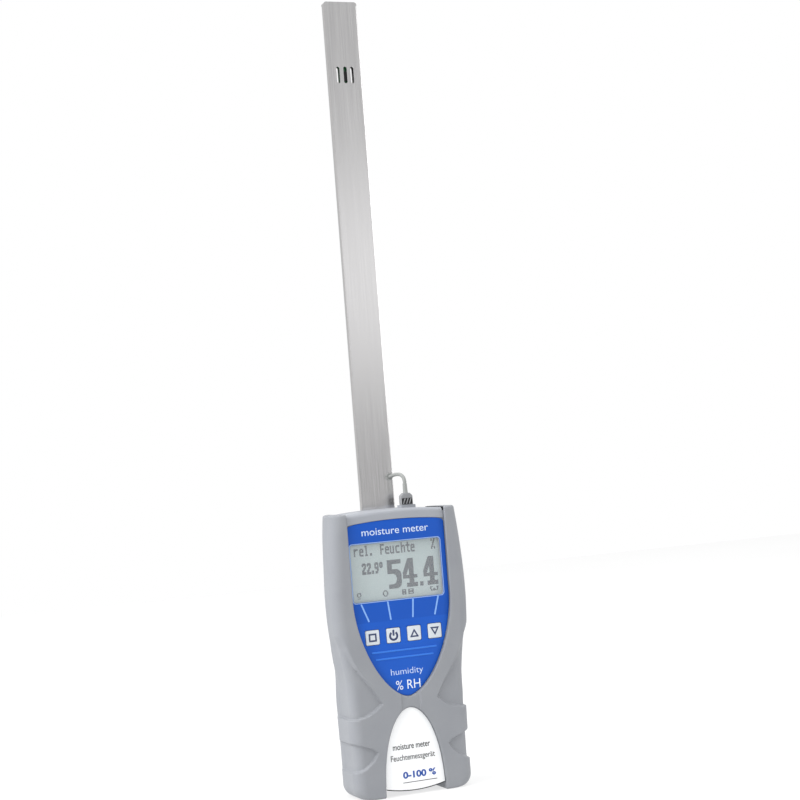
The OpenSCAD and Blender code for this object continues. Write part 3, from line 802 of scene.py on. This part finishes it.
def smooth_route(route, steps=5):
    """Catmull-Rom points through the route."""
    p = [Vector(v) for v in (route[0], *route, route[-1])]
    out = []
    for i in range(1, len(p) - 2):
        for k in range(steps):
            t = k / steps
            out.append(0.5 * (2 * p[i] + (p[i + 1] - p[i - 1]) * t
                              + (2 * p[i - 1] - 5 * p[i] + 4 * p[i + 1] - p[i + 2]) * t * t
                              + (3 * p[i] - p[i - 1] - 3 * p[i + 1] + p[i + 2]) * t ** 3))
    return out + [p[-2]]


def cable_rings(route, r, sides=18):
    """Rings of points square to the route, all turned the same way."""
    side = Vector((10.2, 4.4, 0)).normalized()
    rings = []
    for i, point in enumerate(route):
        ahead = (route[min(i + 1, len(route) - 1)] - route[max(i - 1, 0)]).normalized()
        b = ahead.cross(side).normalized()
        n = b.cross(ahead)
        turn = [2 * math.pi * k / sides for k in range(sides)]
        rings.append([tuple(point + r * (math.cos(a) * n + math.sin(a) * b)) for a in turn])
    return rings


cable = swept("sensor_cord", cable_rings(smooth_route(CABLE_ROUTE), 1.0), sheath, "housing")
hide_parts("sensor_cable")


# ---- keypad foil ----

FOIL_FRONT_Y = -13.8
FOIL_BACK_Y = -13.3
PRINT_H = 0.05
WINDOW = (-1.1, 119.85, 52, 30.9)
KEY_Z = 85.3
KEY_PITCH = 12
KEY_XS = [(i - 1.5) * KEY_PITCH for i in range(4)]
KEY_SIDE = 7.8


def field_top(x):
    """Height of the arched top edge of the keypad foil."""
    return 147.3 - 230 + math.sqrt(230 ** 2 - x * x)


def foil_outline():
    """Shield with an arched top and two round upper corners."""
    side = shield_outline(-0.1, field_top(28) - 2.2)
    half = SHIELD_HALF - 0.1
    right = [p for p in side if p[0] >= 0]
    r = 2.2
    corner = [
        (half - r + r * math.cos(a), field_top(half) - r + r * math.sin(a))
        for a in [math.radians(15 * i) for i in range(7)]
    ]
    top = [(x, field_top(x)) for x in np.linspace(half - r - 2, 0, 12)]
    right = right + corner + top
    return right + [(-x, z) for x, z in reversed(right) if x > 0]


blue_foil = foil_material()
foil = joined("keypad_foil", plate_curve(
    [foil_outline(), round_rect(*WINDOW, 1.5)]
    + [round_rect(x, KEY_Z, KEY_SIDE + 0.5, KEY_SIDE + 0.5, 0.9) for x in KEY_XS],
    FOIL_FRONT_Y, FOIL_BACK_Y, 0.14), blue_foil, "housing")
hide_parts("keypad_membrane")

# pale printed border round the display window
edge_x, edge_z, edge_w, edge_h = WINDOW
joined("window_border", plate_curve(
    [round_rect(edge_x, edge_z, edge_w + 1.1, edge_h + 1.1, 1.9),
     round_rect(edge_x, edge_z, edge_w + 0.3, edge_h + 0.3, 1.6)],
    FOIL_FRONT_Y - PRINT_H, FOIL_FRONT_Y + 0.02), print_material("border_print", (0.30, 0.44, 0.72)),
    "housing")

# printed lines from the display to the keys, and moulded ridges under the keys: X and Z of both ends
leaders = [(-22.9, 103.2, -19.4, 94.2), (-7.8, 103.3, -6.8, 94.1),
           (6.8, 103.4, 6.0, 94.2), (21.5, 103.5, 18.9, 94.3)]
pale_print = print_material("pale_print", (0.22, 0.42, 0.82))
joined("leader_lines", plate_curve([bar(*line, 0.85) for line in leaders],
       FOIL_FRONT_Y - PRINT_H, FOIL_FRONT_Y + 0.05), pale_print, "housing")
ridge_blue = moulded("ridge_blue", (0.016, 0.16, 0.66), (0.014, 0.15, 0.62), (0.35, 0.45), 2.4, 0.006)
ridges = [(-18.6, 77.1, 18.0, 77.1), (-16.6, 73.3, 15.8, 73.3)]
joined("foil_ridges", plate_curve([bar(*line, 1.0) for line in ridges],
       FOIL_FRONT_Y - 0.28, FOIL_FRONT_Y + 0.1, 0.16), ridge_blue, "housing")


# ---- lettering, only generic words and numbers ----

def lettering(name, words, x, z, width, height, y_front, material, bold=0.0, thick=PRINT_H):
    """Words centred on x with their lowest line on z, stretched to the width and height."""
    data = bpy.data.curves.new(name, "FONT")
    data.body = words
    data.align_x = "CENTER"
    data.size = height * MM
    data.offset = bold * MM
    data.extrude = thick / 2 * MM
    letters = bpy.data.objects.new(name, data)
    scene.collection.objects.link(letters)
    bpy.context.view_layer.update()
    size = letters.dimensions
    low = min(c[1] for c in letters.bound_box)
    mid = sum(c[0] for c in letters.bound_box) / 8
    sx = width * MM / size[0]
    sz = height * MM / size[1]
    letters.matrix_world = Matrix((
        (sx, 0, 0, (x * MM) - mid * sx),
        (0, 0, -1, (y_front + thick / 2) * MM),
        (0, sz, 0, z * MM - low * sz),
        (0, 0, 0, 1),
    ))
    return joined(name, letters, material, "housing")


white_print = print_material("white_print", (0.62, 0.72, 0.86))
grey_print = print_material("grey_print", (0.028, 0.029, 0.031))
blue_print = print_material("blue_print", (0.012, 0.075, 0.36))
bright_print = print_material("bright_print", (0.84, 0.88, 0.93))
soft_print = print_material("soft_print", (0.64, 0.76, 0.94))
foil_print_y = FOIL_FRONT_Y - PRINT_H
lettering("header_words", "moisture meter", -0.5, 139.6, 38.5, 3.6, foil_print_y, white_print)
lettering("field_words", "humidity", 0.2, 63.0, 18.6, 4.4, foil_print_y, soft_print, -0.05)
lettering("unit_words", "% RH", 0.3, 56.0, 14.0, 4.9, foil_print_y, bright_print, -0.02)
label_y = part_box("front_label")[0].y / MM - PRINT_H
lettering("label_words_a", "moisture meter", -0.8, 24.3, 21.5, 3.1, label_y, grey_print,
          0.035)
lettering("label_words_b", "Feuchtemessgerät", -0.4, 17.6, 25.5, 4.0, label_y, grey_print,
          0.03)
lettering("label_range", "0-100 %", 2.6, 8.7, 19.0, 3.7, label_y, blue_print, 0.14)
joined("label_rule", plate_curve([bar(-7.0, 6.6, 12.5, 6.6, 0.35)], label_y, -14.28),
       grey_print, "housing")


# painted shade: a black strip under the label, along the arched foot of the housing, standing in for the
# shadow on the housing's lower edge
FOOT_ARC_Z = 73.2
FOOT_ARC_R = 71


def foot_arc(x, grow):
    """Height of the arched foot, with its radius grown by an amount."""
    return FOOT_ARC_Z - math.sqrt((FOOT_ARC_R + grow) ** 2 - x * x)


painted_shade_xs = np.linspace(-16.6, 16.6, 25)
painted_shade = [(x, foot_arc(x, -0.35)) for x in painted_shade_xs]
painted_shade += [(x, foot_arc(x, 0.25)) for x in reversed(painted_shade_xs)]
joined("label_painted_shade", plate_curve([painted_shade], -14.25, -13.4, 0.1), black_rubber, "housing")


# ---- liquid crystal display ----

DOT_X = 0.4
DOT_Z = 0.47
GLASS_FRONT_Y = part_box("display_glass")[0].y / MM

# Strokes of the signs on a grid of dots: column and row from the lower left
SIGNS = {
    "r": ["0,0 0,7", "0,5 2,7 4,7"],
    "e": ["4,0 1,0 0,1 0,6 1,7 3,7 4,6 4,4 0,4"],
    "l": ["1,10 2,10 2,0", "1,0 3,0"],
    ".": ["1,0 2,0", "1,1 2,1"],
    "F": ["0,0 0,10 4,10", "0,5 3,5"],
    "u": ["0,7 0,1 1,0 4,0", "4,7 4,0"],
    "c": ["4,0 1,0 0,1 0,6 1,7 4,7"],
    "h": ["0,0 0,10", "0,6 3,7 4,6 4,0"],
    "t": ["2,10 2,1 3,0 4,0", "0,7 4,7"],
    "%": ["0,10 0,9", "4,10 0,0", "4,1 4,0"],
    "2": ["0,9 1,10 3,10 4,9 4,7 0,2 0,0 4,0"],
    "9": ["4,5 1,5 0,6 0,9 1,10 3,10 4,9 4,3 2,0 1,0"],
    "degree": ["0,7 0,9 1,10 2,10 3,9 3,7 2,6 1,6 0,7"],
    "five": ["0,28 13,28", "0,28 0,17 8,17 11,15 13,12 13,5 11,2 8,0 1,0"],
    "four_arm": ["8,29 0,14 0,10 16,10"],
    "four_stem": ["9,28 9,0", "5,0 14,0"],
    "point": ["0,0 0,0"],
    "lamp": ["0,4 1,6 4,6 5,4 3,2 1,2 0,4", "1,0 3,0"],
    "ring": ["0,2 0,4 2,6 4,6 6,4 6,2 4,0 2,0 0,2"],
    "page": ["0,0 0,5 4,5 4,0 0,0", "2,2 2,3"],
    "folder": ["0,0 0,5 6,5 6,0 0,0", "2,2 5,2", "2,3 4,3"],
    "wave": ["0,5 1,1 4,1 5,3 6,1 9,1 11,5", "0,5 2,5", "9,5 11,5"],
}

# Brushes, as columns and rows of dots
PEN = (2, 1)
TALL_PEN = (2, 2)
HIGH_PEN = (2, 3)
POINT_PEN = (5, 5)
ARM_PEN = (5, 4)
BOLD_PEN = (7, 5)


def dots(strokes, column, row, brush):
    """All dots that the strokes of one sign cover, with a brush of so many dots."""
    found = set()
    for stroke in strokes:
        points = [tuple(int(v) for v in p.split(",")) for p in stroke.split()]
        for (x0, z0), (x1, z1) in zip(points, points[1:]):
            steps = max(abs(x1 - x0), abs(z1 - z0), 1)
            for i in range(steps + 1):
                x = round(x0 + (x1 - x0) * i / steps)
                z = round(z0 + (z1 - z0) * i / steps)
                found |= {
                    (column + x + a, row + z + b) for a in range(brush[0]) for b in range(brush[1])
                }
    return found


def lcd_dots():
    """The quantity in words, the reading, the temperature and a row of small signs."""
    found = set()
    for index, letter in enumerate("rel. Feuchte"):
        if letter != " ":
            found |= dots(SIGNS[letter], 6 + round(7.5 * index), 51, TALL_PEN)
    temperature = [(16, "2"), (23, "2"), (29, "."), (34, "9"), (41, "degree")]
    for column, sign in temperature:
        found |= dots(SIGNS[sign], column, 30, HIGH_PEN)
    key_signs = [(6, "lamp"), (43, "ring"), (71, "page"), (80, "folder"), (112, "wave")]
    for column, sign in key_signs:
        found |= dots(SIGNS[sign], column, 3, PEN)
    found |= dots(SIGNS["%"], 118, 52, TALL_PEN)
    found |= dots(SIGNS["five"], 52, 11, BOLD_PEN)
    found |= dots(SIGNS["point"], 98, 11, POINT_PEN)
    for column in (74, 104):
        found |= dots(SIGNS["four_arm"], column, 11, ARM_PEN)
        found |= dots(SIGNS["four_stem"], column, 11, BOLD_PEN)
    return sorted(found)


def lcd_figures():
    """Each dark dot of the display as a thin raised cell, with fine gaps between cells."""
    left = WINDOW[0] - 64 * DOT_X
    low = WINDOW[1] - 32 * DOT_Z
    front, back = GLASS_FRONT_Y - 0.06, GLASS_FRONT_Y + 0.02
    gap = 0.02
    points, faces = [], []
    for column, row in lcd_dots():
        x0, x1 = left + column * DOT_X + gap, left + (column + 1) * DOT_X - gap
        z0, z1 = low + row * DOT_Z + gap, low + (row + 1) * DOT_Z - gap
        base = len(points)
        corners = ((x0, z0), (x1, z0), (x1, z1), (x0, z1))
        points += [(x, y, z) for y in (front, back) for x, z in corners]
        faces += [[base + i for i in ring] for ring in (
            (0, 1, 2, 3), (7, 6, 5, 4), (0, 4, 5, 1), (1, 5, 6, 2), (2, 6, 7, 3), (3, 7, 4, 0))]
    return mesh_piece("lcd_figures", points, faces, lcd_ink(), "housing", False)


lcd_figures()


# ---- keys ----

def power_outlines(x, z):
    """Open ring with an upright stroke in its gap."""
    outer, inner = 2.65, 1.5
    arc = [math.radians(a) for a in range(125, 416, 10)]
    ring = [(x + outer * math.cos(a), z - 0.25 + outer * math.sin(a)) for a in arc]
    ring += [(x + inner * math.cos(a), z - 0.25 + inner * math.sin(a)) for a in reversed(arc)]
    return [ring, bar(x, z + 0.3, x, z + 2.6, 1.1)]


def triangle_outlines(x, z, up):
    """Open triangle that points up with 1 and down with -1."""
    outer = [(x - 2.6, z - 2.1 * up), (x + 2.6, z - 2.1 * up), (x, z + 2.4 * up)]
    inner = [(x - 1.25, z - 1.3 * up), (x + 1.25, z - 1.3 * up), (x, z + 0.85 * up)]
    return [outer, inner]


key_plastic = moulded("key_plastic", (0.62, 0.66, 0.70), (0.55, 0.59, 0.63), (0.4, 0.5), 2.2, 0.01)
key_icon = print_material("key_icon", (0.028, 0.045, 0.12))
ICONS = {
    "menu": lambda x: [round_rect(x, KEY_Z, 4.5, 4.4, 0.2), round_rect(x, KEY_Z, 2.7, 2.6, 0.1)],
    "power": lambda x: power_outlines(x, KEY_Z),
    "up": lambda x: triangle_outlines(x, KEY_Z, 1),
    "down": lambda x: triangle_outlines(x, KEY_Z, -1),
}
for x, (key, icon) in zip(KEY_XS, ICONS.items()):
    body = key + "_button"
    low_corner, high_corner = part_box("key_" + key)
    cap_front = low_corner.y / MM
    cap = joined("cap_" + key, plate_curve([round_rect(x, KEY_Z, KEY_SIDE, KEY_SIDE, 0.8)],
                 cap_front, -11.8, 0.35, 4), key_plastic, body)
    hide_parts("key_" + key)
    joined("flange_" + key, plate_curve([round_rect(x, KEY_Z, KEY_SIDE + 1.8, KEY_SIDE + 1.8, 0.8)],
           -11.85, -11.0, 0.1), ridge_blue, body)
    joined("plunger_" + key, plate_curve([circle(x, KEY_Z, 1.5)], -11.1, high_corner.y / MM, 0.2),
           key_plastic, body)
    joined("icon_" + key, plate_curve(icon(x), cap_front - 0.04, cap_front + 0.03),
           key_icon, body)


# ---- floor, light and view ----

def make_stage():
    """Pale floor that glows a little, so that it stays white to its far edge."""
    m = Nodes("floor_paper")
    tone = m.ramp(m.noise(0.004, 2.0), 0.0, 1.0)
    m.use(
        Base_Color=m.mix(tone, (0.25, 0.25, 0.25), (0.27, 0.27, 0.27)),
        Roughness=0.9,
        Specular_IOR_Level=0.0,
        Emission_Color=(1, 1, 1),
        Emission_Strength=0.7,
    )
    data = bpy.data.meshes.new("floor")
    half = 1.6
    corners = [(-half, -half, 0), (half, -half, 0), (half, half, 0), (-half, half, 0)]
    data.from_pydata(corners, [], [(0, 1, 2, 3)])
    data.materials.append(m.material)
    floor = bpy.data.objects.new("floor", data)
    scene.collection.objects.link(floor)


def area_light(name, at, towards, size, power):
    data = bpy.data.lights.new(name, "AREA")
    data.shape = "RECTANGLE"
    data.size, data.size_y = size
    data.energy = power
    lamp = bpy.data.objects.new(name, data)
    lamp.location = at
    aim = Vector(towards) - Vector(at)
    lamp.rotation_euler = aim.to_track_quat("-Z", "Y").to_euler()
    scene.collection.objects.link(lamp)
    return lamp


def make_world():
    """White studio behind the object. In front of it, a bright band low down with a dimmer zone
    above it and a brighter sky over that, which the brushed sword mirrors."""
    world = bpy.data.worlds.new("studio")
    scene.world = world
    world.use_nodes = True
    tree = world.node_tree
    coords = tree.nodes.new("ShaderNodeTexCoord")
    split = tree.nodes.new("ShaderNodeSeparateXYZ")
    tree.links.new(coords.outputs["Generated"], split.inputs["Vector"])

    def spread(output, low, high, to_low=0.0, to_high=1.0):
        """Smooth change from one value to another between two readings of the output."""
        node = tree.nodes.new("ShaderNodeMapRange")
        node.interpolation_type = "SMOOTHSTEP"
        limits = {"From Min": low, "From Max": high, "To Min": to_low, "To Max": to_high}
        for name, value in limits.items():
            node.inputs[name].default_value = value
        tree.links.new(output, node.inputs["Value"])
        return node.outputs["Result"]

    def blend(factor, a, b):
        """Value a where the factor is 0 and value b where it is 1."""
        node = tree.nodes.new("ShaderNodeMix")
        for index, value in ((0, factor), (2, a), (3, b)):
            if isinstance(value, bpy.types.NodeSocket):
                tree.links.new(value, node.inputs[index])
            else:
                node.inputs[index].default_value = value
        return node.outputs[0]

    height = split.outputs["Z"]
    band = blend(spread(height, 0.01, 0.08), 0.34, 1.1)
    front = blend(spread(height, 0.11, 0.2), band, 0.46)
    front = blend(spread(height, 0.24, 0.36), front, 0.78)
    back = spread(split.outputs["X"], -0.25, 0.08, 0.62, 1.0)
    level = blend(spread(split.outputs["Y"], -0.35, 0.45), front, back)
    tree.links.new(level, tree.nodes["Background"].inputs["Strength"])
    tree.nodes["Background"].inputs["Color"].default_value = (1, 1, 1, 1)


scene.view_settings.view_transform = "Standard"
scene.view_settings.look = "None"
make_stage()
make_world()
key_light = area_light("key_light", (-1.42, -0.1, 0.95), (0, 0, 0.12), (1.4, 1.4), 33)
# keeps the rounded corners of the sword from showing the key light as a burnt-out line
key_light.visible_glossy = False
area_light("top_light", (0.1, -0.1, 2.2), (0, 0, 0.0), (2.4, 2.4), 24)
area_light("front_light", (-0.1, -0.9, 1.6), (0, 0, 0.1), (0.6, 0.6), 2.5)
area_light("right_light", (1.3, -0.8, 0.5), (0, 0, 0.1), (0.6, 0.6), 4)
